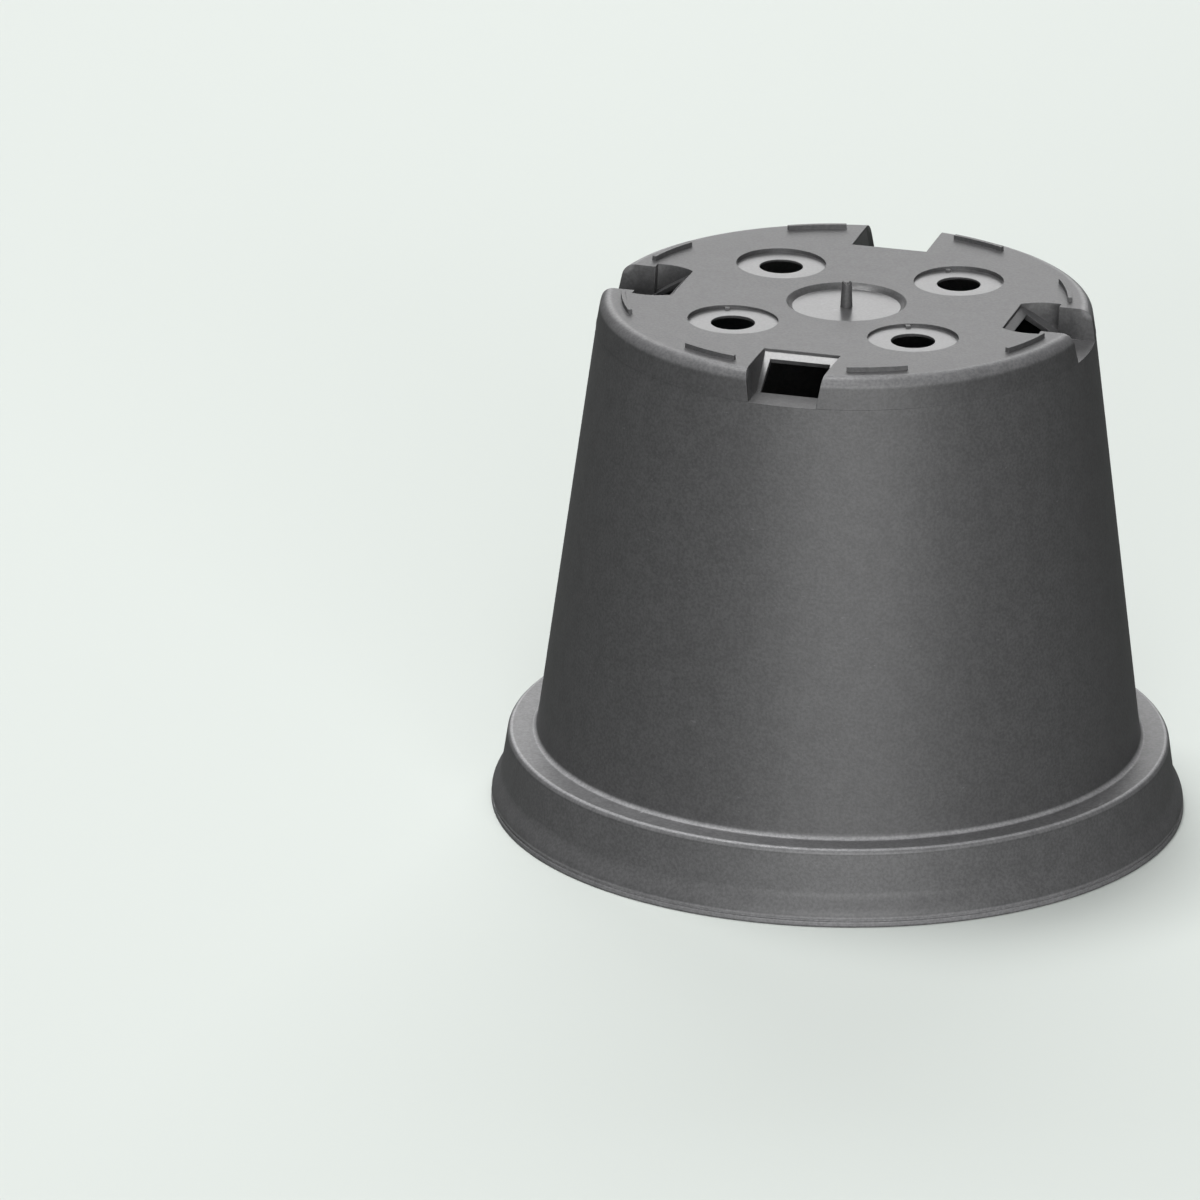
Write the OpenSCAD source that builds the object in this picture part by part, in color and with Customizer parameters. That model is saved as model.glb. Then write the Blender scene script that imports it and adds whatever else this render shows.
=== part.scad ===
// Round nursery pot, moulded in one piece, standing upside down on its rim.
// The origin is the middle of the mouth, in the plane that the rim rests on.
// +Z runs from the mouth to the base, and the foot notches lie on X and Y.

/* [Body] */
// Height from the rim to the flat ring of the base
pot_h = 144.8; // [125:0.1:170]
// Outer radius of the body at the base, before the edge is rounded
base_r = 66.2; // [62:0.1:72]
// Wall of the body and of the notches
wall = 1.2; // [1:0.1:2]
// Thickness of the base
base_t = 1.6; // [1.4:0.1:2.6]
// Rounding of the outer edge of the base
base_round = 3.5; // [1.5:0.1:4.5]
// Rounding of the corner between the floor and the wall inside
floor_round = 3; // [1:0.1:5]

/* [Collar and rim] */
// Height of the collar, from the rim to its flat shoulder
collar_h = 20.4; // [16:0.1:30]
// Outer radius of the bead at the rim
rim_r = 95; // [92:0.1:100]
// How far the rim stands out past the collar's shoulder
collar_out = 4.5; // [3:0.1:6]
// Width of the shoulder, from the body to the collar's edge before it is rounded
shoulder_w = 7.7; // [6:0.1:10]
// Wall of the collar
collar_t = 1.4; // [1.2:0.1:2.2]
// Width of the flat that the rim rests on, bead included
lip_t = 2.5; // [2:0.1:3.2]
// Chamfer of the rim's inner edge
lip_round = 0.4; // [0.2:0.05:0.6]
// Rounding of the corner between the collar and the ledge inside
ledge_round = 0.8; // [0.4:0.1:2]
// Rounding of the shoulder's outer edge
shoulder_round = 1.6; // [0.8:0.1:2.5]
// Rounding of the inner corner between the body and the shoulder
foot_round = 1.8; // [0.8:0.1:3]
// Height at which the collar starts to flare out to the lip
flare_z = 9; // [6:0.1:12]
// How far the lip stands out from the collar where the flare starts
flare_out = 2.7; // [1.5:0.1:3.5]
// Height of the rounded bead below the groove
bead_h = 1.6; // [1:0.1:2.4]
// Rounding of the bead's edges
bead_round = 0.4; // [0.2:0.05:0.45]
// Height of the groove above the bead
groove_h = 0.6; // [0.4:0.1:1]
// Depth of the groove above the bead
groove_d = 0.4; // [0.2:0.05:0.6]

/* [Base] */
// Width of the flat ring at the edge of the base
ring_w = 9.2; // [6:0.1:10]
// Depth of the shallow hollow at the middle of the base
hollow_d = 1.2; // [0.4:0.1:2]
// Radius of the round recess in the middle, at its upper edge
recess_r = 16.3; // [12:0.1:18]
// Depth of the round recess
recess_d = 1.4; // [0.8:0.1:2]
// How far the wall of the recess leans in
recess_lean = 1.7; // [0.6:0.1:2.4]
// Height of the moulding stub in the middle of the recess
stub_h = 7; // [3:0.1:9]
// Diameter of the moulding stub at its root
stub_d = 3.4; // [2.6:0.1:4]
// Diameter of the moulding stub at its end
stub_tip_d = 2.6; // [1.8:0.1:3]
// Depth of the notch across the stub's end
stub_notch = 1.4; // [0.8:0.1:2]

/* [Drain holes] */
// Distance of the drain holes from the middle
drain_r = 35.3; // [33:0.1:38]
// Diameter of a drain hole
drain_d = 11.8; // [8:0.1:14]
// Diameter of the shallow dish around a drain hole
dish_d = 24.4; // [20:0.1:26]
// Depth of the dish
dish_depth = 0.9; // [0.5:0.1:1.2]
// Width of the small key on the dish's wall
key_w = 1.4; // [1:0.1:2]
// Length of the key, from the dish's wall inwards
key_l = 1.6; // [1:0.1:2.4]

/* [Foot ribs] */
// Distance of a foot rib's middle line from the edge of the base
rib_inset = 5.9; // [5:0.1:7]
// Length of a foot rib as an angle
rib_angle = 15.5; // [10:0.5:20]
// Width of a foot rib
rib_w = 1.2; // [0.8:0.1:2]
// Height of a foot rib above the flat ring
rib_h = 1.3; // [0.8:0.1:2]

/* [Foot notches] */
// Length of a notch, from the edge of the base inwards
notch_l = 20.2; // [19:0.1:22]
// Width of a notch between its sides, at the base
notch_w = 21; // [18:0.1:24]
// Depth of a notch from the flat ring to its shelf
notch_d = 8.4; // [6:0.1:11]
// Width of a notch's shelf, from the edge of the base inwards
shelf_l = 8.2; // [6:0.1:9]
// Depth of the step at a notch's inner end
notch_step = 1; // [0.6:0.1:2]
// Radius of the widened inner end that every second notch has
pocket_r = 13.2; // [12.1:0.1:13.5]
// Distance from the shelf to the end of the widened part
pocket_gap = 1.5; // [0.8:0.1:2.5]
// How far each side of a notch leans in at its shelf
notch_lean = 1.2; // [0.6:0.1:1.6]
// Width of the strip left above the window in a notch's slope, measured level
window_strip = 2.2; // [1.2:0.1:4]
// Width of the window in a notch's slope
window_w = 16.4; // [14:0.1:18.4]

/* [Stacking steps] */
// Height of a ramp on the ledge at its low end
ramp_low = 0.8; // [0.4:0.1:1.4]
// Height of a ramp on the ledge at its high end
ramp_high = 2.6; // [1.5:0.1:4]
// Width of the slot between two ramps, the web included
slot_w = 6.6; // [3:0.1:9]
// Thickness of the web on the far side of a slot
web_t = 1.2; // [0.8:0.1:2]
// Distance of the ramps from the inner edge of the ledge
ramp_inset = 0.4; // [0.2:0.1:2]
// Distance of the webs from the inner edge of the ramps
web_inset = 0.4; // [0.2:0.1:2]
// Height of the web from the ledge towards the rim
web_h = 9; // [5:0.1:12]

/* [Hidden] */
// Numbers of each feature round the pot, and where the first one lies
NOTCHES = 4;
DRAINS = 4;
DRAIN_START = 45;
RIBS = 8;
RIB_START = 22.5;
STEPS = 6;
STEP_START = 15;
// Where the key lies on a dish's wall, as [dish number, angle about its middle]
KEYS = [[0, 119], [2, 113], [3, 111]];
// How far the wall bows out of the straight at the parting line
parting_out = 0.2;
// Angle of the stub's notch about its axis
STUB_TURN = 20;
// Steps of a rounded edge and of the flare
ARC_STEPS = 7;
FLARE_STEPS = 12;
$fn = 180;
// How far a cut runs past the faces that it opens
past = 1;

shoulder_r = rim_r - collar_out;
// Outer radius of the body where it meets the collar's shoulder
foot_r = shoulder_r - shoulder_w;
ring_r = base_r - ring_w;
shelf_z = pot_h - notch_d;
// Radius of the wall at the parting line, which lies level with the shelves
parting_r = foot_r + (base_r - foot_r) * (shelf_z - collar_h) / (pot_h - collar_h) + parting_out;
lip_r = rim_r - groove_d / 4;
groove_r = lip_r - groove_d;
flare_r = lip_r - flare_out;
groove_z = bead_h + groove_h;
ledge_z = collar_h - wall;
ledge_in = foot_r - wall;
ledge_out = shoulder_r - collar_t;
lip_in = rim_r - lip_t;
slot_angle = asin(slot_w / (ledge_in + ledge_out) * 2);
ramp_angle = 360 / STEPS - slot_angle;
notch_in = base_r - notch_l;
shelf_in = base_r - shelf_l;
pocket_out = shelf_in - pocket_gap;
pocket_mid = notch_in + sqrt(pocket_r * pocket_r - notch_w * notch_w / 4);
// Fall of a notch's slope for each millimetre outwards
notch_fall = (notch_d - notch_step) / (shelf_in - notch_in);

// Unit vector along v
function unit(v) = v / norm(v);

// Points that round the corner b of the path a, b, c with radius r
function rounded(a, b, c, r) =
    let (
        u = unit(a - b),
        w = unit(c - b),
        half = acos(u * w) / 2,
        mid = b + unit(u + w) * r / sin(half),
        first = b + u * r / tan(half) - mid,
        last = b + w * r / tan(half) - mid,
        from = atan2(first.y, first.x),
        turn = atan2(first.x * last.y - first.y * last.x, first * last)
    )
    [for (i = [0 : ARC_STEPS])
        let (a = from + turn * i / ARC_STEPS)
        mid + r * [cos(a), sin(a)]];

// The collar's flare, a half cosine from its wall out to the lip
function flare() =
    [for (i = [0 : FLARE_STEPS])
        let (t = i / FLARE_STEPS)
        [flare_r + flare_out * (1 - cos(180 * t)) / 2, flare_z + (groove_z - flare_z) * t]];

// Height of the base's outer face at radius r, inside the flat ring
function face_z(r) = pot_h - hollow_d * (1 - r / ring_r);

// The pot's outside as one filled turned form
module outer_form() {
    edge = [base_r, pot_h];
    parting = [parting_r, shelf_z];
    foot = [foot_r, collar_h];
    shoulder = [shoulder_r, collar_h];
    groove = [groove_r, bead_h];
    bead = [rim_r, bead_h];
    rim = [rim_r, 0];
    rotate_extrude()
        polygon(concat(
            [[0, 0], [0, pot_h - hollow_d], [ring_r, pot_h]],
            rounded([ring_r, pot_h], edge, parting, base_round),
            [parting],
            rounded(parting, foot, shoulder, foot_round),
            rounded(foot, shoulder, [flare_r, flare_z], shoulder_round),
            flare(),
            [[groove_r, groove_z], groove],
            rounded(groove, bead, rim, bead_round),
            rounded(bead, rim, [0, 0], bead_round)
        ));
}

// The form within the middle of the walls, where all that stands inside has its root
module root_form() {
    edge = [base_r - wall / 2, pot_h - base_t / 2];
    parting = [parting_r - wall / 2, shelf_z];
    rotate_extrude()
        polygon(concat(
            [[0, 0], [0, pot_h - hollow_d - base_t / 2], [ring_r, edge.y]],
            rounded([ring_r, edge.y], edge, parting, base_round - wall / 2),
            [parting, [foot_r - wall / 2, collar_h - wall / 2]],
            [[shoulder_r - collar_t / 2, collar_h - wall / 2], [lip_in + collar_t / 2, 0]]
        ));
}

// The hollow inside the pot, from below the rim to the floor
module inner_form() {
    ledge = [ledge_in, ledge_z];
    collar = [ledge_out, ledge_z];
    lip = [lip_in, lip_round];
    parting = [parting_r - wall, shelf_z];
    corner = [base_r - wall, pot_h - base_t];
    ring = [ring_r, pot_h - base_t];
    recess_z = face_z(recess_r) - base_t;
    rotate_extrude()
        polygon(concat(
            [[0, -past], [lip_in + lip_round, -past], [lip_in + lip_round, 0], lip],
            rounded(lip, collar, ledge, ledge_round),
            [ledge, parting],
            rounded(parting, corner, ring, floor_round),
            [ring, [recess_r + recess_d, recess_z], [recess_r, recess_z - recess_d], [0, recess_z - recess_d]]
        ));
}

// Section of a notch through its middle, moved down and inwards by t
module notch_section(t) {
    polygon([
        [notch_in - t, pot_h + past],
        [notch_in - t, pot_h - notch_step - t],
        [shelf_in, shelf_z - t],
        [rim_r, shelf_z - t],
        [rim_r, pot_h + past]
    ]);
}

// A notch's straight part from radius start outwards: its walls lean in towards the shelf, grown by t
module notch_channel(start, t) {
    low = notch_w / 2 - notch_lean + t;
    high = notch_w / 2 + t;
    slope = (high - low) / notch_d;
    below = 2 * t;
    rotate([90, 0, 90])
        translate([0, 0, start])
            linear_extrude(rim_r - start)
                polygon([
                    [-low + slope * below, shelf_z - below],
                    [low - slope * below, shelf_z - below],
                    [high + slope * past, pot_h + past],
                    [-high - slope * past, pot_h + past]
                ]);
}

// A notch's widened inner end: a leaning round wall, grown by t
module notch_pocket(t) {
    low = pocket_r - notch_lean + t;
    high = pocket_r + t;
    slope = (high - low) / notch_d;
    below = 2 * t;
    intersection() {
        translate([pocket_mid, 0, shelf_z - below])
            cylinder(h = notch_d + below + past, r1 = low - slope * below, r2 = high + slope * past);
        translate([notch_in - t, -rim_r, 0])
            cube([pocket_out - notch_in + 2 * t, 2 * rim_r, 2 * pot_h]);
    }
}

// The space of notch i, turned to its place and grown by t. The notches on X are widened at their inner end.
module notch_space(i, t) {
    rotate(i * 360 / NOTCHES)
        intersection() {
            if (i % 2 == 0)
                union() {
                    notch_channel(pocket_out, t);
                    notch_pocket(t);
                }
            else
                notch_channel(notch_in - t, t);
            translate([0, rim_r, 0])
                rotate([90, 0, 0])
                    linear_extrude(2 * rim_r)
                        notch_section(t);
        }
}

// The window through a notch's slope, from the strip to the shelf, with its upper face square to the slope
module window() {
    top = [notch_in + window_strip, pot_h - notch_step - notch_fall * window_strip];
    depth = top.y - shelf_z + wall + past;
    translate([0, window_w / 2, 0])
        rotate([90, 0, 0])
            linear_extrude(window_w)
                polygon([
                    top + past * [notch_fall, 1],
                    top - depth * [notch_fall, 1],
                    [shelf_in, top.y - depth],
                    [shelf_in, top.y + past]
                ]);
}

// The shallow dish around a drain hole, with the hole through its floor
module drain(key_angle) {
    dish_z = face_z(drain_r) - dish_depth;
    difference() {
        translate([0, 0, dish_z])
            cylinder(h = dish_depth + hollow_d + past, d = dish_d);
        if (key_angle != undef)
            rotate(key_angle)
                translate([dish_d / 2 - key_l, -key_w / 2, dish_z - past])
                    cube([key_l + past, key_w, past + pot_h - dish_z - hollow_d / 2]);
    }
    translate([0, 0, dish_z - 2 * base_t])
        cylinder(h = 3 * base_t, d = drain_d);
}

// The key of drain hole i, if it has one
function key_of(i) = [for (k = KEYS) if (k[0] == i) k[1]][0];

// One raised rib on the base's flat ring, starting at its first end
module foot_rib() {
    mid = base_r - rib_inset;
    rotate(-rib_angle / 2)
        rotate_extrude(angle = rib_angle)
            polygon([
                [mid - rib_w / 2, pot_h - base_t / 2],
                [mid + rib_w / 2, pot_h - base_t / 2],
                [mid + rib_w / 2, pot_h + rib_h],
                [mid - rib_w / 2, pot_h + rib_h]
            ]);
}

// The round recess in the middle of the base
module recess() {
    low = recess_r - recess_lean;
    high = recess_r + recess_lean * hollow_d / recess_d;
    translate([0, 0, face_z(recess_r) - recess_d])
        cylinder(h = recess_d + hollow_d, r1 = low, r2 = high);
}

// The forked stub that the moulding gate leaves
module gate_stub() {
    root_z = face_z(recess_r) - recess_d;
    difference() {
        translate([0, 0, root_z - base_t / 2])
            cylinder(h = stub_h + base_t / 2, d1 = stub_d, d2 = stub_tip_d);
        translate([0, 0, root_z + stub_h])
            rotate([0, 45, STUB_TURN])
                cube([stub_notch, 2 * stub_d, stub_notch], center = true);
    }
}

// One stacking step on the ledge, its ramp's middle on +X, with the web at its low end
module stack_step() {
    reach = ledge_out * sin(ramp_angle / 2);
    tilt = atan((ramp_high - ramp_low) / (2 * reach));
    ramp_in = ledge_in + ramp_inset;
    intersection() {
        rotate(-ramp_angle / 2)
            rotate_extrude(angle = ramp_angle)
                polygon([[ramp_in, 0], [rim_r, 0], [rim_r, collar_h], [ramp_in, collar_h]]);
        translate([0, 0, ledge_z - (ramp_low + ramp_high) / 2])
            rotate([-tilt, 0, 0])
                translate([0, -rim_r, 0])
                    cube([rim_r, 2 * rim_r, collar_h]);
    }
    rotate(-ramp_angle / 2)
        translate([ramp_in + web_inset, -web_t, ledge_z - web_h])
            cube([rim_r, web_t + web_inset, web_h + wall]);
}

// The whole pot
module pot() {
    color([0.17, 0.17, 0.18])
        difference() {
            union() {
                difference() {
                    outer_form();
                    inner_form();
                }
                intersection() {
                    root_form();
                    union() {
                        for (i = [0 : NOTCHES - 1])
                            notch_space(i, wall);
                        for (i = [0 : STEPS - 1])
                            rotate(STEP_START + (i + 0.5) * 360 / STEPS)
                                stack_step();
                    }
                }
                for (i = [0 : RIBS - 1])
                    rotate(RIB_START + i * 360 / RIBS)
                        foot_rib();
            }
            for (i = [0 : NOTCHES - 1]) {
                notch_space(i, 0);
                rotate(i * 360 / NOTCHES)
                    window();
            }
            for (i = [0 : DRAINS - 1])
                rotate(DRAIN_START + i * 360 / DRAINS)
                    translate([drain_r, 0, 0])
                        rotate(-DRAIN_START - i * 360 / DRAINS)
                            drain(key_of(i));
            recess();
        }
    color([0.17, 0.17, 0.18])
        gate_stub();
}

pot();
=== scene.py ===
from math import atan2, cos, pi, radians, sin, sqrt, tan

import bmesh
import bpy
import numpy as np
from mathutils import Matrix, Vector


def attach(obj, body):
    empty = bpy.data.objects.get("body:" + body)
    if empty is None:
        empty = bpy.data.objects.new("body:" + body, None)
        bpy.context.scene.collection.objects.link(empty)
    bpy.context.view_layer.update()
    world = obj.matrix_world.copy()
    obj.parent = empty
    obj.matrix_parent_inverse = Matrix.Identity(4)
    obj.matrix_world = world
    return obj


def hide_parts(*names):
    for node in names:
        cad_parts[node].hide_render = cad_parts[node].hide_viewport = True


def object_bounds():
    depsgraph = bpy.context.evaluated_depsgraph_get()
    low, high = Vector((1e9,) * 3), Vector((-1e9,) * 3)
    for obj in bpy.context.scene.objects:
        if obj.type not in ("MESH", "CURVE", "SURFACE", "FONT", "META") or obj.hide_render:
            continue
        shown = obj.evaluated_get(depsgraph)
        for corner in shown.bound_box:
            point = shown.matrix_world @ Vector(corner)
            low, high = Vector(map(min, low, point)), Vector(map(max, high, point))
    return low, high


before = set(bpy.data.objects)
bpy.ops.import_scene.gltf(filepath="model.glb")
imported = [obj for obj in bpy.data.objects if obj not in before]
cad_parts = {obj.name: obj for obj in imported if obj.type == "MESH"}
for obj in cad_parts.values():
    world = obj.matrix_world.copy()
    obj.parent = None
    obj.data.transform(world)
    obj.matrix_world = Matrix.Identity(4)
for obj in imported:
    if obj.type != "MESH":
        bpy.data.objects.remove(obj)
cad_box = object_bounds()


# The camera. It stands 2.7 m off and a metre above the floor, looks down by 20 degrees and
# has the pot right of the middle. Its view lies 14 degrees off one of the pot's notches.
VIEW_TURN = radians(14.4)
CAMERA_DISTANCE = 2.7044
CAMERA_HEIGHT = 1.0564
CAMERA_YAW = -0.0243
CAMERA_PITCH = -0.3540
CAMERA_ROLL = 0.0105
FOCAL_PIXELS = 10561.5
PHOTO_PIXELS = 1200
SENSOR_MM = 36.0

level_ahead = Vector((sin(CAMERA_YAW), cos(CAMERA_YAW), 0))
level_right = Vector((cos(CAMERA_YAW), -sin(CAMERA_YAW), 0))
towards = level_ahead * cos(CAMERA_PITCH) + Vector((0, 0, sin(CAMERA_PITCH)))
level_up = level_right.cross(towards)
camera_right = level_right * cos(CAMERA_ROLL) + level_up * sin(CAMERA_ROLL)
camera_up = level_up * cos(CAMERA_ROLL) - level_right * sin(CAMERA_ROLL)
camera_data = bpy.data.cameras.new("camera")
camera_data.sensor_width = SENSOR_MM
camera_data.lens = FOCAL_PIXELS / PHOTO_PIXELS * SENSOR_MM
camera_data.clip_end = 100
camera = bpy.data.objects.new("camera", camera_data)
bpy.context.scene.collection.objects.link(camera)
stand = Matrix.Translation((0, -CAMERA_DISTANCE, CAMERA_HEIGHT))
head = Matrix((camera_right, camera_up, -towards)).transposed().to_4x4()
camera.matrix_world = Matrix.Rotation(VIEW_TURN, 4, "Z") @ stand @ head
bpy.context.scene.camera = camera


# The pot's shell. The pot is moulded in one piece from dark grey plastic, and stands on its rim:
# a tapered body, a collar that flares out to a bead, and on top the base. It is turned from one
# profile here, in millimetres, and the sections below cut and add to it before it is finished.
MM = 0.001
RIM_R = cad_box[1][0] / MM
POT_H = 144.8
BASE_R = 66.2
WALL = 1.2
BASE_T = 1.6
BASE_ROUND = 3.5
FLOOR_ROUND = 3.0
COLLAR_H = 20.4
COLLAR_OUT = 4.5
SHOULDER_W = 7.7
COLLAR_T = 1.4
LIP_T = 2.5
LIP_ROUND = 0.4
LEDGE_ROUND = 0.8
SHOULDER_ROUND = 1.6
FOOT_ROUND = 1.8
FLARE_Z = 9.0
FLARE_OUT = 2.7
BEAD_H = 1.6
BEAD_ROUND = 0.35
GROOVE_H = 0.6
GROOVE_D = 0.4
GROOVE_ROUND = 0.12
RING_W = 9.2
HOLLOW_D = 1.2
RECESS_R = 16.3
RECESS_D = 1.4
RECESS_LEAN = 1.7
BOSS_ROUND = 0.6
NOTCH_D = 8.4
PARTING_OUT = 0.2
WITNESS_OUT = 0.06
WITNESS_H = 0.12
TURN_STEPS = 280
ARC_STEPS = 8
FLARE_STEPS = 14

shelf_z = POT_H - NOTCH_D
ring_r = BASE_R - RING_W
shoulder_r = RIM_R - COLLAR_OUT
foot_r = shoulder_r - SHOULDER_W
parting_r = foot_r + (BASE_R - foot_r) * (shelf_z - COLLAR_H) / (POT_H - COLLAR_H) + PARTING_OUT
lip_r = RIM_R - GROOVE_D / 4
groove_r = lip_r - GROOVE_D
flare_r = lip_r - FLARE_OUT
groove_z = BEAD_H + GROOVE_H
ledge_z = COLLAR_H - WALL
ledge_in = foot_r - WALL
ledge_out = shoulder_r - COLLAR_T
lip_in = RIM_R - LIP_T


def rounded(a, b, c, r, steps=ARC_STEPS):
    """An arc of radius r round corner b of the path a, b, c, with its middle on b's bisector."""
    a, b, c = (np.array(p, float) for p in (a, b, c))
    u = (a - b) / np.linalg.norm(a - b)
    w = (c - b) / np.linalg.norm(c - b)
    half = np.arccos(u @ w) / 2
    middle = b + (u + w) / np.linalg.norm(u + w) * r / sin(half)
    first = b + u * r / tan(half) - middle
    last = b + w * r / tan(half) - middle
    sweep = atan2(first[0] * last[1] - first[1] * last[0], first @ last)
    t = atan2(first[1], first[0]) + sweep * np.linspace(0, 1, steps + 1)
    return middle + r * np.c_[np.cos(t), np.sin(t)]


def face_z(r):
    """Height of the base's outer face at radius r: a shallow cone inside its flat ring."""
    return POT_H - HOLLOW_D * (1 - r / ring_r)


def turned(profile, steps=TURN_STEPS):
    """A closed surface of revolution: (r cos a, r sin a, z) for each profile point and angle.

    The profile's first and last points lie on the axis and become the two poles."""
    profile = np.array(profile, float)
    r, z = profile[1:-1, 0], profile[1:-1, 1]
    a = 2 * pi * np.arange(steps) / steps
    x, y = np.outer(r, np.cos(a)), np.outer(r, np.sin(a))
    rings = np.stack([x, y, np.outer(z, np.ones(steps))], -1)
    points = np.vstack([[[0, 0, profile[0, 1]]], rings.reshape(-1, 3), [[0, 0, profile[-1, 1]]]])
    i, j = np.meshgrid(np.arange(len(r) - 1), np.arange(steps), indexing="ij")
    at, over = 1 + i * steps + j, 1 + i * steps + (j + 1) % steps
    quads = np.stack([at, over, over + steps, at + steps], -1).reshape(-1, 4)
    j = np.arange(steps)
    last_ring = 1 + (len(r) - 1) * steps
    first_cap = np.c_[np.zeros(steps, int), 1 + (j + 1) % steps, 1 + j]
    last_cap = np.c_[np.full(steps, len(points) - 1), last_ring + j, last_ring + (j + 1) % steps]
    return points, quads.tolist() + first_cap.tolist() + last_cap.tolist()


def lofted(rings):
    """A closed solid through equal rings of points, rings[i, j], with a flat face at each end."""
    rings = np.array(rings, float)
    count, size = rings.shape[:2]
    i, j = np.meshgrid(np.arange(count - 1), np.arange(size), indexing="ij")
    at, over = i * size + j, i * size + (j + 1) % size
    quads = np.stack([at, over, over + size, at + size], -1).reshape(-1, 4)
    ends = [list(range(size))[::-1], list(range((count - 1) * size, count * size))]
    return rings.reshape(-1, 3), quads.tolist() + ends


def turned_to(solid, *degrees):
    """Copies of a solid turned about Z by each angle, as one list of points and one of faces."""
    points, faces = solid
    a = np.radians(degrees)
    x = np.outer(np.cos(a), points[:, 0]) - np.outer(np.sin(a), points[:, 1])
    y = np.outer(np.sin(a), points[:, 0]) + np.outer(np.cos(a), points[:, 1])
    z = np.tile(points[:, 2], (len(a), 1))
    copies = [[v + k * len(points) for v in face] for k in range(len(a)) for face in faces]
    return np.stack([x, y, z], -1).reshape(-1, 3), copies


def round_the_pot(count, start=0.0):
    """The angles of count features spread evenly round the pot, the first at start degrees."""
    return [start + 360 * i / count for i in range(count)]


def moved(solid, *by):
    """A solid moved by x, y, z."""
    return solid[0] + np.array(by, float), solid[1]


def joined(*solids):
    """Solids that don't touch, as one list of points and one of faces."""
    points, faces, base = [], [], 0
    for solid_points, solid_faces in solids:
        points.append(solid_points)
        faces += [[v + base for v in face] for face in solid_faces]
        base += len(solid_points)
    return np.vstack(points), faces


def solid_object(name, solid):
    """An object made of a solid's points and faces, with its faces outwards."""
    points, faces = solid
    mesh = bpy.data.meshes.new(name)
    mesh.from_pydata((points * MM).tolist(), [], faces)
    shape = bmesh.new()
    shape.from_mesh(mesh)
    bmesh.ops.recalc_face_normals(shape, faces=shape.faces)
    shape.to_mesh(mesh)
    shape.free()
    obj = bpy.data.objects.new(name, mesh)
    bpy.context.scene.collection.objects.link(obj)
    return obj


def apply_modifiers(obj):
    """Makes obj's mesh what its modifiers leave, and takes them off."""
    bpy.context.view_layer.update()
    mesh = bpy.data.meshes.new_from_object(obj.evaluated_get(bpy.context.evaluated_depsgraph_get()))
    obj.modifiers.clear()
    obj.data = mesh


def combine(obj, operation, solid):
    """Joins a solid to obj (UNION), cuts it out (DIFFERENCE) or keeps the overlap (INTERSECT)."""
    tool = solid_object("tool", solid)
    step = obj.modifiers.new("step", "BOOLEAN")
    step.solver = "MANIFOLD"
    step.operation = operation
    step.object = tool
    apply_modifiers(obj)
    bpy.data.objects.remove(tool)


def shared(solid, other):
    """What two solids share, as points and faces."""
    obj = solid_object("shared", solid)
    combine(obj, "INTERSECT", other)
    points = np.empty(len(obj.data.vertices) * 3)
    obj.data.vertices.foreach_get("co", points)
    faces = [list(face.vertices) for face in obj.data.polygons]
    bpy.data.objects.remove(obj)
    return points.reshape(-1, 3) / MM, faces


edge, parting = (BASE_R, POT_H), (parting_r, shelf_z)
foot, shoulder, flare_start = (foot_r, COLLAR_H), (shoulder_r, COLLAR_H), (flare_r, FLARE_Z)
ring, bead, rim = (ring_r, POT_H), (RIM_R, BEAD_H), (RIM_R, 0)
groove_top, groove = (groove_r, groove_z), (groove_r, BEAD_H)
witness = parting + np.array([(0, 2), (WITNESS_OUT, 1), (WITNESS_OUT, 0), (0, -1)]) * (1, WITNESS_H)

# The flare is half a cosine wave, which starts with the slope of the collar above it.
t = np.linspace(0, 1, FLARE_STEPS + 1)
flare_h = FLARE_Z - groove_z
collar_slope = (flare_r - shoulder_r) / (COLLAR_H - FLARE_Z)
flare_out = FLARE_OUT * (1 - np.cos(pi * t)) / 2 + collar_slope * flare_h * t * (1 - t) ** 2
flare = np.c_[flare_r + flare_out, FLARE_Z - flare_h * t]
outside = [
    [(0, POT_H - HOLLOW_D), ring],
    rounded(ring, edge, parting, BASE_ROUND),
    witness,
    rounded(parting, foot, shoulder, FOOT_ROUND),
    rounded(foot, shoulder, flare_start, SHOULDER_ROUND),
    flare,
    rounded((lip_r, groove_z), groove_top, groove, GROOVE_ROUND, 3),
    rounded(groove_top, groove, bead, GROOVE_ROUND, 3),
    rounded(groove, bead, rim, BEAD_ROUND, 4),
    rounded(bead, rim, (0, 0), BEAD_ROUND, 4),
]

# Under the recess the inner face drops by the recess's depth, in a slope between two round corners.
boss_z = face_z(RECESS_R) - BASE_T
boss_in_z = boss_z - RECESS_D
boss = [(RECESS_R + 2 * RECESS_D, boss_z), (RECESS_R + RECESS_D, boss_z),
        (RECESS_R, boss_in_z), (RECESS_R - RECESS_D, boss_in_z)]
lip_edge, ledge_corner, ledge_edge = (lip_in, LIP_ROUND), (ledge_out, ledge_z), (ledge_in, ledge_z)
parting_in, edge_in = (parting_r - WALL, shelf_z), (BASE_R - WALL, POT_H - BASE_T)
floor_ring = (ring_r, POT_H - BASE_T)
inside = [
    [(lip_in + LIP_ROUND, 0), lip_edge],
    rounded(lip_edge, ledge_corner, ledge_edge, LEDGE_ROUND, 4),
    [ledge_edge, parting_in],
    rounded(parting_in, edge_in, floor_ring, FLOOR_ROUND),
    [floor_ring],
    rounded(boss[0], boss[1], boss[2], BOSS_ROUND, 4),
    rounded(boss[1], boss[2], boss[3], BOSS_ROUND, 4),
    [(0, boss_in_z)],
]
pot = solid_object("pot_shell", turned(np.vstack(outside + inside)))

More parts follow.
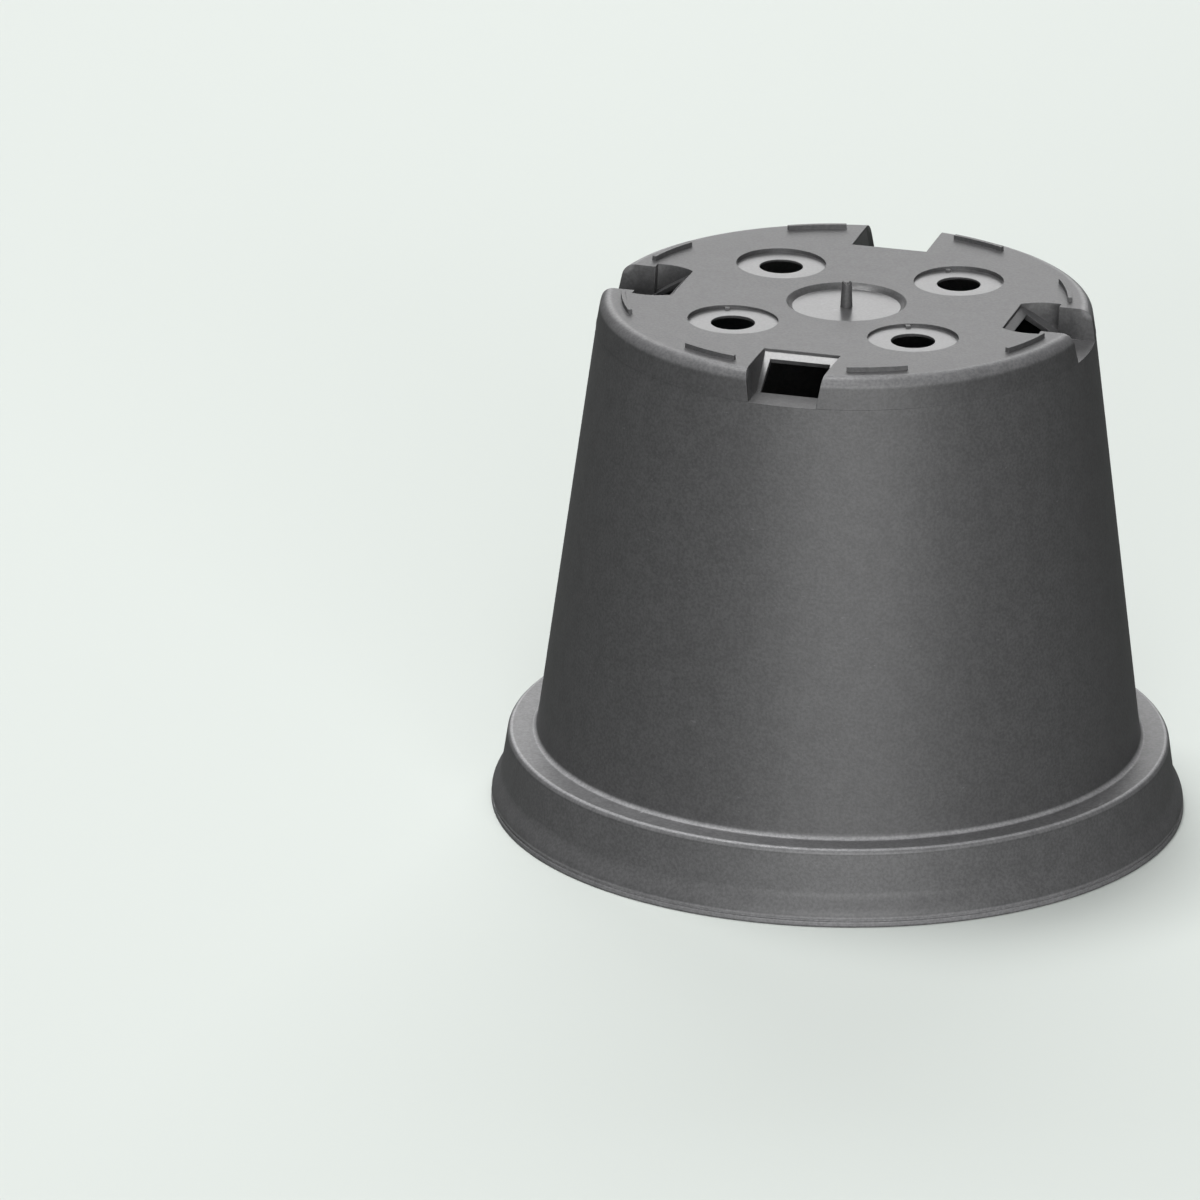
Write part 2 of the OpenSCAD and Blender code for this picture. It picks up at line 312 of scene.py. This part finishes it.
# The middle of the pot's wall. All that stands inside the pot ends there, within the wall.
root_ring, root_edge = (ring_r, POT_H - BASE_T / 2), (BASE_R - WALL / 2, POT_H - BASE_T / 2)
root_parting, root_foot = (parting_r - WALL / 2, shelf_z), (foot_r - WALL / 2, COLLAR_H - WALL / 2)
root_shoulder = (shoulder_r - COLLAR_T / 2, COLLAR_H - WALL / 2)
root_lip = (lip_in + COLLAR_T / 2, 0)
mid_wall = turned(np.vstack([
    [(0, POT_H - HOLLOW_D - BASE_T / 2), root_ring],
    rounded(root_ring, root_edge, root_parting, BASE_ROUND - WALL / 2),
    [root_parting, root_foot, root_shoulder, root_lip, (0, 0)],
]))


# The foot notches. Four inserts of the mould leave slots across the base's edge, so that water
# runs off: a shelf, a slope down to it with a drain window, and walls that lean in a little.
NOTCHES = 4
NOTCH_L = 20.2
NOTCH_W = 21.0
SHELF_L = 8.2
NOTCH_STEP = 1.0
POCKET_R = 13.2
POCKET_GAP = 1.5
NOTCH_LEAN = 1.2
WINDOW_STRIP = 2.2
WINDOW_W = 16.4
WINDOW_PAST = 0.15
PAST = 1.0
POCKET_STEPS = 24
JOG_T = 0.001

notch_in = BASE_R - NOTCH_L
shelf_in = BASE_R - SHELF_L
pocket_out = shelf_in - POCKET_GAP
pocket_mid = notch_in + sqrt(POCKET_R ** 2 - NOTCH_W ** 2 / 4)
notch_fall = (NOTCH_D - NOTCH_STEP) / (shelf_in - notch_in)


def notch_solid(grown, widened):
    """The space of a notch on +X, grown by a wall, as four-cornered sections across it.

    Its half width at distance x is that of the inner end's circle, sqrt(R^2 - (x - middle)^2), up
    to the jog, and then constant. Its floor falls in a straight slope down to the shelf."""
    start, jog = notch_in - grown, pocket_out + grown
    x = np.array([start, shelf_in, RIM_R])
    if widened:
        x = np.r_[np.linspace(start, jog, POCKET_STEPS), jog + JOG_T, x[1:]]
    half = np.full_like(x, NOTCH_W / 2 + grown)
    if widened:
        pocket = x <= jog
        half[pocket] = np.sqrt((POCKET_R + grown) ** 2 - (x[pocket] - pocket_mid) ** 2)
    fall = (NOTCH_D - NOTCH_STEP) * np.clip((x - start) / (shelf_in - start), 0, 1)
    depth = NOTCH_STEP + grown + fall
    low_half = half - NOTCH_LEAN * depth / NOTCH_D
    high_half = half + NOTCH_LEAN * PAST / NOTCH_D
    low, high = POT_H - depth, np.full_like(x, POT_H + PAST)
    corners = [(high_half, high), (low_half, low), (-low_half, low), (-high_half, high)]
    return lofted(np.stack([np.stack([x, y, z], -1) for y, z in corners], 1))


def carried_across(outline, first_y, last_y):
    """A solid whose outline of points (x, z) is carried straight from y to y."""
    return lofted([[(x, y, z) for x, z in outline] for y in (first_y, last_y)])


wide, plain = round_the_pot(NOTCHES)[::2], round_the_pot(NOTCHES)[1::2]


def all_notches(grown):
    """The spaces of the two widened notches and the two plain ones, grown by a wall."""
    widened = turned_to(notch_solid(grown, True), *wide)
    return joined(widened, turned_to(notch_solid(grown, False), *plain))


combine(pot, "UNION", shared(all_notches(WALL), mid_wall))

window_top = np.array([notch_in + WINDOW_STRIP, POT_H - NOTCH_STEP - notch_fall * WINDOW_STRIP])
window_out = shelf_in + WINDOW_PAST
window_depth = window_top[1] - shelf_z + WALL + PAST
square_to_slope = np.array([notch_fall, 1])
window_outline = [window_top + PAST * square_to_slope, window_top - window_depth * square_to_slope,
                  (window_out, window_top[1] - window_depth), (window_out, window_top[1] + PAST)]
window = carried_across(window_outline, -WINDOW_W / 2, WINDOW_W / 2)


# The base's round features. Four drain holes lie in shallow dishes, three of which have a small
# key at their edge, and a smooth recess lies in the middle. KEYS gives a key's angle by its dish.
DRAINS = 4
DRAIN_START = 45
DRAIN_R = 35.3
DRAIN_D = 11.8
DISH_D = 24.4
DISH_DEPTH = 0.9
KEY_W = 1.4
KEY_L = 1.6
KEY_H = 0.5
KEYS = {0: 119, 2: 113, 3: 111}
DISH_STEPS = 96
HOLE_STEPS = 72
RECESS_STEPS = 144

dish_z = face_z(DRAIN_R) - DISH_DEPTH
recess_z = face_z(RECESS_R) - RECESS_D
drain_angles = round_the_pot(DRAINS, DRAIN_START)


def upright(low_r, low_z, high_r, high_z, steps):
    """A round solid on the axis, with one radius at its lower end and one at its upper end."""
    return turned([(0, low_z), (low_r, low_z), (high_r, high_z), (0, high_z)], steps)


dish = upright(DISH_D / 2, dish_z, DISH_D / 2, POT_H + PAST, DISH_STEPS)
hole = upright(DRAIN_D / 2, dish_z - 2 * BASE_T, DRAIN_D / 2, POT_H, HOLE_STEPS)
recess = upright(RECESS_R - RECESS_LEAN, recess_z,
                 RECESS_R + RECESS_LEAN, recess_z + 2 * RECESS_D, RECESS_STEPS)
dishes = turned_to(moved(dish, DRAIN_R, 0, 0), *drain_angles)
holes = turned_to(moved(hole, DRAIN_R, 0, 0), *drain_angles)
combine(pot, "DIFFERENCE", joined(all_notches(0), dishes, recess))
combine(pot, "DIFFERENCE", joined(turned_to(window, *wide, *plain), holes))

key_outline = [(DISH_D / 2 - KEY_L, -KEY_W / 2), (DISH_D / 2 + PAST, -KEY_W / 2),
               (DISH_D / 2 + PAST, KEY_W / 2), (DISH_D / 2 - KEY_L, KEY_W / 2)]
key = lofted([[(x, y, z) for x, y in key_outline] for z in (dish_z - BASE_T / 4, dish_z + KEY_H)])
for i, angle in KEYS.items():
    a = radians(drain_angles[i])
    combine(pot, "UNION", moved(turned_to(key, angle), DRAIN_R * cos(a), DRAIN_R * sin(a), 0))


# The foot ribs and the gate stub. Eight short ribs stand on the base's flat ring, and in the
# middle stands the forked stub that was left when the moulding was twisted off its sprue.
RIBS = 8
RIB_START = 22.5
RIB_INSET = 5.9
RIB_ANGLE = 15.5
RIB_W = 1.2
RIB_H = 1.3
STUB_H = 7.0
STUB_D = 3.4
STUB_TIP_D = 2.6
STUB_NOTCH = 1.4
STUB_TURN = 20
STUB_STEPS = 20
RIB_POINTS = 14


def swept(section, a):
    """A solid whose section goes round the pot: (r cos a, r sin a, z) for each corner and angle."""
    corners = [np.stack([r * np.cos(a), r * np.sin(a), z + 0 * a], -1) for r, z in section]
    return lofted(np.stack(corners, 1))


rib_in, rib_out = BASE_R - RIB_INSET - RIB_W / 2, BASE_R - RIB_INSET + RIB_W / 2
rib_foot, rib_top = POT_H - BASE_T / 2, POT_H + RIB_H
rib = swept([(rib_in, rib_foot), (rib_out, rib_foot), (rib_out, rib_top), (rib_in, rib_top)],
            np.radians(np.linspace(-RIB_ANGLE / 2, RIB_ANGLE / 2, RIB_POINTS)))
stub_top = recess_z + STUB_H
stub = upright(STUB_D / 2, recess_z - BASE_T / 2, STUB_TIP_D / 2, stub_top, STUB_STEPS)
combine(pot, "UNION", joined(turned_to(rib, *round_the_pot(RIBS, RIB_START)), stub))
fork_r = STUB_NOTCH / sqrt(2)
fork = [(fork_r, stub_top), (0, stub_top + fork_r), (-fork_r, stub_top), (0, stub_top - fork_r)]
combine(pot, "DIFFERENCE", turned_to(carried_across(fork, -STUB_D, STUB_D), STUB_TURN))


# The stacking steps. Six ramps rise round the ledge inside the collar, with a slot and a thin
# upright web between one and the next, so that a nested pot doesn't jam.
STEPS = 6
STEP_START = 15
RAMP_LOW = 0.8
RAMP_HIGH = 2.6
SLOT_W = 6.6
WEB_T = 1.2
RAMP_INSET = 0.4
WEB_INSET = 0.4
WEB_H = 9.0
RAMP_POINTS = 49

slot_angle = np.degrees(np.arcsin(SLOT_W / (ledge_in + ledge_out) * 2))
ramp_angle = 360 / STEPS - slot_angle
ramp_in = ledge_in + RAMP_INSET
a = np.radians(np.linspace(-ramp_angle / 2, ramp_angle / 2, RAMP_POINTS))
rise = (RAMP_HIGH - RAMP_LOW) * (1 + np.sin(a) / sin(radians(ramp_angle / 2))) / 2
ramp_z = ledge_z - RAMP_LOW - rise
ramp = swept([(ramp_in, ramp_z), (lip_in, ramp_z), (lip_in, COLLAR_H), (ramp_in, COLLAR_H)], a)
web_in, web_z = ramp_in + WEB_INSET, ledge_z - WEB_H
web_outline = [(web_in, web_z), (lip_in, web_z), (lip_in, COLLAR_H), (web_in, COLLAR_H)]
web = carried_across(web_outline, -WEB_T, WEB_INSET)
step_angles = round_the_pot(STEPS, STEP_START + 180 / STEPS)
combine(pot, "UNION", shared(turned_to(ramp, *step_angles), mid_wall))
combine(pot, "UNION", shared(turned_to(turned_to(web, -ramp_angle / 2), *step_angles), mid_wall))


# The finished shell. Its sharp edges are rounded as the mould's cutters leave them. The plastic
# has a fine spark-eroded grain and is smooth where the mould was polished. Its colour is painted
# paler round the corners, as painted highlight lines with some rubbed wear, and on the collar and
# its step, as painted light.
EDGE_ROUND = 0.12
EDGE_SEGMENTS = 2
EVEN_SHADING = 50
SHARPER_THAN = 38
MERGED_WITHIN = 0.02
FLAT_WITHIN = 0.5
PLASTIC = (0.068, 0.068, 0.0695)
ROUGHNESS = 0.50
GRAIN_SIZE = 0.8
GRAIN_SHADE = 0.16
GRAIN_DEPTH = 0.04
CLOUD_SIZE = 5.0
CLOUD_SHADE = 0.05
NOISE_LOW = 0.3
NOISE_HIGH = 0.7
NOISE_ROUGHNESS = 0.6
SMOOTH_ROUGHNESS = 0.30
SMOOTH_GRAIN = 0.06
SMOOTH_BELOW = 0.4
BAND_SHADE = 0.90
# The corners are painted paler: painted highlight lines on their fillets, with some rubbed wear.
CORNER_HIGHLIGHT_SHADE = 2.0
RUBBED_ROUGHNESS = 0.45
FOOT_REACH = 0.75
# The collar's step is painted paler: painted light where the wall keeps the lamps off it.
LEDGE_LIGHT_SHADE = 2.0
LEDGE_LIGHT_H = 1.2
LEDGE_LIGHT_DROP = 0.6
# The collar is painted paler: painted light that stands for light bounced up from the floor.
COLLAR_LIGHT_SHADE = 1.3
COLLAR_LIGHT_SPAN = 1.0
SCUFF_SIZE = (2.6, 2.6, 0.9)
SCUFF_SHADE = 1.5
SCUFF_FROM = 0.76
SCUFF_TO = 0.82
BLEND = 0.2

shape = bmesh.new()
shape.from_mesh(pot.data)
bmesh.ops.remove_doubles(shape, verts=shape.verts, dist=MERGED_WITHIN * MM)
bmesh.ops.dissolve_limit(shape, angle_limit=radians(FLAT_WITHIN),
                         verts=shape.verts, edges=shape.edges)
shape.to_mesh(pot.data)
shape.free()
pot.data.shade_smooth()
rounding = pot.modifiers.new("edge_rounding", "BEVEL")
rounding.width = EDGE_ROUND * MM
rounding.segments = EDGE_SEGMENTS
rounding.limit_method = "ANGLE"
rounding.angle_limit = radians(SHARPER_THAN)
rounding.use_clamp_overlap = False
rounding.harden_normals = True
shading = pot.modifiers.new("even_shading", "WEIGHTED_NORMAL")
shading.weight = EVEN_SHADING
shading.keep_sharp = True
apply_modifiers(pot)

plastic = bpy.data.materials.new("pot_plastic")
plastic.use_nodes = True
nodes, links = plastic.node_tree.nodes, plastic.node_tree.links
shader = nodes["Principled BSDF"]
place = nodes.new("ShaderNodeTexCoord").outputs["Object"]


def connect(value, socket):
    """Sets a socket to a number or a vector, or links another node's output to it."""
    if isinstance(value, bpy.types.NodeSocket):
        links.new(value, socket)
    else:
        socket.default_value = value


def calculated(operation, first, second=0.0, third=0.0):
    """The sum, product or other Math operation of up to three values."""
    node = nodes.new("ShaderNodeMath")
    node.operation = operation
    for value, socket in zip((first, second, third), node.inputs):
        connect(value, socket)
    return node.outputs["Value"]


def on_vectors(operation, first, second=(0, 0, 0)):
    """The Vector Math operation of two vectors."""
    node = nodes.new("ShaderNodeVectorMath")
    node.operation = operation
    connect(first, node.inputs[0])
    connect(second, node.inputs[1])
    return node.outputs["Value" if operation == "LENGTH" else "Vector"]


def ranged(value, from_low, from_high, to_low=0.0, to_high=1.0):
    """A value carried from one range to another in a smooth step, and held at its ends."""
    node = nodes.new("ShaderNodeMapRange")
    node.interpolation_type = "SMOOTHSTEP"
    for amount, name in ((value, "Value"), (from_low, "From Min"), (from_high, "From Max"),
                         (to_low, "To Min"), (to_high, "To Max")):
        connect(amount, node.inputs[name])
    return node.outputs["Result"]


def speckled(size, detail):
    """Noise with specks of about size millimetres, one size or one for each axis."""
    node = nodes.new("ShaderNodeTexNoise")
    node.inputs["Scale"].default_value = 1
    node.inputs["Detail"].default_value = detail
    node.inputs["Roughness"].default_value = NOISE_ROUGHNESS
    frequency = tuple(1 / (MM * np.broadcast_to(size, 3)))
    connect(on_vectors("MULTIPLY", place, frequency), node.inputs["Vector"])
    return node.outputs["Fac"]


across = nodes.new("ShaderNodeSeparateXYZ")
links.new(place, across.inputs["Vector"])
height = calculated("DIVIDE", across.outputs["Z"], MM)
radius = calculated("DIVIDE", on_vectors("LENGTH", on_vectors("MULTIPLY", place, (1, 1, 0))), MM)


def near_corner(corner, reach):
    """1 on the ring through a corner (r, z) of the profile, and 0 from reach millimetres off it."""
    out = calculated("SUBTRACT", radius, corner[0])
    up = calculated("SUBTRACT", height, corner[1])
    squares = calculated("ADD", calculated("MULTIPLY", out, out), calculated("MULTIPLY", up, up))
    return ranged(calculated("SQRT", squares), reach / 2, reach, 1, 0)


# How far a point lies below the cone of the base's face, and how far within the wall's outer face.
cone = calculated("MULTIPLY_ADD", radius, HOLLOW_D / ring_r, POT_H - HOLLOW_D)
depth = calculated("SUBTRACT", cone, height)
wall_slope = (BASE_R - foot_r) / (POT_H - COLLAR_H)
wall_face = calculated("MULTIPLY_ADD", height, wall_slope, foot_r - wall_slope * COLLAR_H)
within = calculated("SUBTRACT", wall_face, radius)

# The mould was polished where it shaped the inside, the notches, the dishes and the recess, but not
# the shelves. A band above the parting line is a little darker.
above_parting = ranged(height, shelf_z - BLEND / 2, shelf_z + BLEND / 2)
past_round = calculated("SUBTRACT", within, calculated("MULTIPLY", above_parting, BASE_ROUND))
core_side = ranged(past_round, WALL - 2 * BLEND, WALL - BLEND)
below = ranged(depth, SMOOTH_BELOW, SMOOTH_BELOW + 1.5 * BLEND)
from_shelf = calculated("ABSOLUTE", calculated("SUBTRACT", height, shelf_z))
off_shelf = ranged(from_shelf, BLEND, 2 * BLEND)
smooth = calculated("MULTIPLY", calculated("MULTIPLY", below, core_side), off_shelf)
band = calculated("MULTIPLY", above_parting, ranged(within, BASE_ROUND / 2, BASE_ROUND / 4))

# Painted light and wear: corners painted paler as highlight lines with some rubbed wear, painted
# light on the collar's step and on the collar, and a few pale scuffs.
highlit_and_rubbed_corners = [(edge, BASE_ROUND), (foot, FOOT_REACH * FOOT_ROUND), (shoulder, SHOULDER_ROUND),
                (bead, BEAD_H)]
# Rings round the corners, painted paler as highlight lines on the fillets with some rubbed wear,
# and a little smoother.
highlit_and_rubbed = 0.0
for highlit_corner, reach in highlit_and_rubbed_corners:
    highlit_and_rubbed = calculated("MAXIMUM", highlit_and_rubbed, near_corner(highlit_corner, reach))
# The collar's step, painted paler as painted light.
ledge_light_from = ranged(height, COLLAR_H - LEDGE_LIGHT_DROP, COLLAR_H - BLEND / 2)
ledge_light_to = ranged(height, COLLAR_H + LEDGE_LIGHT_H, COLLAR_H + BLEND)
painted_ledge_light = calculated("MULTIPLY", ledge_light_from, ledge_light_to)
# The collar below its step, painted paler as painted floor-bounce light.
painted_collar_light = ranged(height, COLLAR_H - COLLAR_LIGHT_SPAN, COLLAR_H - 2 * COLLAR_LIGHT_SPAN)
grain = speckled(GRAIN_SIZE, detail=2)
scuffed = ranged(speckled(SCUFF_SIZE, detail=1), SCUFF_FROM, SCUFF_TO)

shade = ranged(grain, NOISE_LOW, NOISE_HIGH, 1 - GRAIN_SHADE, 1 + GRAIN_SHADE)
for amount, full_shade in ((band, BAND_SHADE), (highlit_and_rubbed, CORNER_HIGHLIGHT_SHADE), (painted_ledge_light, LEDGE_LIGHT_SHADE),
                           (painted_collar_light, COLLAR_LIGHT_SHADE), (scuffed, SCUFF_SHADE)):
    shade = calculated("MULTIPLY", shade, ranged(amount, 0, 1, 1, full_shade))
clouds = ranged(speckled(CLOUD_SIZE, detail=1), NOISE_LOW, NOISE_HIGH,
                1 - CLOUD_SHADE, 1 + CLOUD_SHADE)
tinted = nodes.new("ShaderNodeVectorMath")
tinted.operation = "SCALE"
tinted.inputs[0].default_value = PLASTIC
links.new(calculated("MULTIPLY", shade, clouds), tinted.inputs["Scale"])
links.new(tinted.outputs["Vector"], shader.inputs["Base Color"])

roughness = ranged(highlit_and_rubbed, 0, 1, ROUGHNESS, RUBBED_ROUGHNESS)
links.new(ranged(smooth, 0, 1, roughness, SMOOTH_ROUGHNESS), shader.inputs["Roughness"])
bump = nodes.new("ShaderNodeBump")
bump.inputs["Distance"].default_value = GRAIN_DEPTH * MM
links.new(ranged(smooth, 0, 1, 1, SMOOTH_GRAIN), bump.inputs["Strength"])
links.new(grain, bump.inputs["Height"])
links.new(bump.outputs["Normal"], shader.inputs["Normal"])
pot.data.materials.clear()
pot.data.materials.append(plastic)
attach(pot, "root")
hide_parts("pot")


# The studio. A plain pale floor, which the camera sees fade into the background, and four lamps: a
# wide softbox in front, whose sheen runs down the wall, one above it, one behind for the base's
# face, and one overhead, which the front notch's slope mirrors.
FLOOR_SIZE = 40.0
FLOOR_COLOUR = (0.68, 0.72, 0.69)
FLOOR_ROUGHNESS = 0.9
FLOOR_SHINE = 0.2
FLOOR_UNSEEN = 0.2
FADE_FROM = 0.6
FADE_TO = 1.5
WORLD_COLOUR = (0.86, 0.89, 0.86, 1)
WORLD_UNSEEN = 0.03
LAMP_TARGET = Vector((0, 0, 0.07))


def seen_level(tree, unseen):
    """1 for what the camera sees itself, and unseen for the light that falls on the pot."""
    rays = tree.nodes.new("ShaderNodeLightPath")
    level = tree.nodes.new("ShaderNodeMapRange")
    level.inputs["To Min"].default_value = unseen
    tree.links.new(rays.outputs["Is Camera Ray"], level.inputs["Value"])
    return level.outputs["Result"]


half = FLOOR_SIZE / 2
floor_corners = [(-half, -half, 0), (half, -half, 0), (half, half, 0), (-half, half, 0)]
floor_mesh = bpy.data.meshes.new("floor")
floor_mesh.from_pydata(floor_corners, [], [(0, 1, 2, 3)])
floor = bpy.data.objects.new("floor", floor_mesh)
bpy.context.scene.collection.objects.link(floor)
pale = bpy.data.materials.new("pale_floor")
pale.use_nodes = True
floor_nodes, floor_links = pale.node_tree.nodes, pale.node_tree.links
paper = floor_nodes["Principled BSDF"]
paper.inputs["Roughness"].default_value = FLOOR_ROUGHNESS
paper.inputs["Specular IOR Level"].default_value = FLOOR_SHINE
paled = floor_nodes.new("ShaderNodeVectorMath")
paled.operation = "SCALE"
paled.inputs[0].default_value = FLOOR_COLOUR
floor_links.new(seen_level(pale.node_tree, FLOOR_UNSEEN), paled.inputs["Scale"])
floor_links.new(paled.outputs["Vector"], paper.inputs["Base Color"])
distance = floor_nodes.new("ShaderNodeVectorMath")
distance.operation = "LENGTH"
floor_links.new(floor_nodes.new("ShaderNodeTexCoord").outputs["Object"], distance.inputs[0])
faded = floor_nodes.new("ShaderNodeMapRange")
faded.interpolation_type = "SMOOTHSTEP"
faded.inputs["From Min"].default_value = FADE_FROM
faded.inputs["From Max"].default_value = FADE_TO
floor_links.new(distance.outputs["Value"], faded.inputs["Value"])
floor_links.new(seen_level(pale.node_tree, 0), faded.inputs["To Max"])
background = floor_nodes.new("ShaderNodeEmission")
background.inputs["Color"].default_value = WORLD_COLOUR
blend = floor_nodes.new("ShaderNodeMixShader")
floor_links.new(faded.outputs["Result"], blend.inputs["Fac"])
floor_links.new(paper.outputs["BSDF"], blend.inputs[1])
floor_links.new(background.outputs["Emission"], blend.inputs[2])
floor_links.new(blend.outputs["Shader"], floor_nodes["Material Output"].inputs["Surface"])
floor.data.materials.append(pale)


def softbox(name, azimuth, elevation, distance, width, height, radiance):
    """A lamp that faces the pot, at an azimuth counted from the camera to its right."""
    lamp = bpy.data.lights.new(name, "AREA")
    lamp.shape = "RECTANGLE"
    lamp.size, lamp.size_y = width, height
    lamp.energy = radiance * pi * width * height
    box = bpy.data.objects.new(name, lamp)
    box.visible_camera = False
    bpy.context.scene.collection.objects.link(box)
    a, e = VIEW_TURN - pi / 2 + radians(azimuth), radians(elevation)
    box.location = LAMP_TARGET + Vector((cos(a) * cos(e), sin(a) * cos(e), sin(e))) * distance
    box.rotation_euler = (LAMP_TARGET - box.location).to_track_quat("-Z", "Y").to_euler()


softbox("front_box", azimuth=3, elevation=9, distance=2.6, width=2.6, height=1.2, radiance=7.5)
softbox("fill_box", azimuth=0, elevation=50, distance=2.6, width=0.8, height=0.8, radiance=6)
softbox("back_box", azimuth=180, elevation=27, distance=2.4, width=2.0, height=1.5, radiance=2.9)
softbox("top_box", azimuth=-130, elevation=76, distance=2.2, width=0.8, height=0.8, radiance=18)

world = bpy.data.worlds.new("studio")
bpy.context.scene.world = world
world.use_nodes = True
sky = world.node_tree.nodes["Background"]
sky.inputs["Color"].default_value = WORLD_COLOUR
world.node_tree.links.new(seen_level(world.node_tree, WORLD_UNSEEN), sky.inputs["Strength"])

bpy.context.scene.view_settings.view_transform = "Standard"
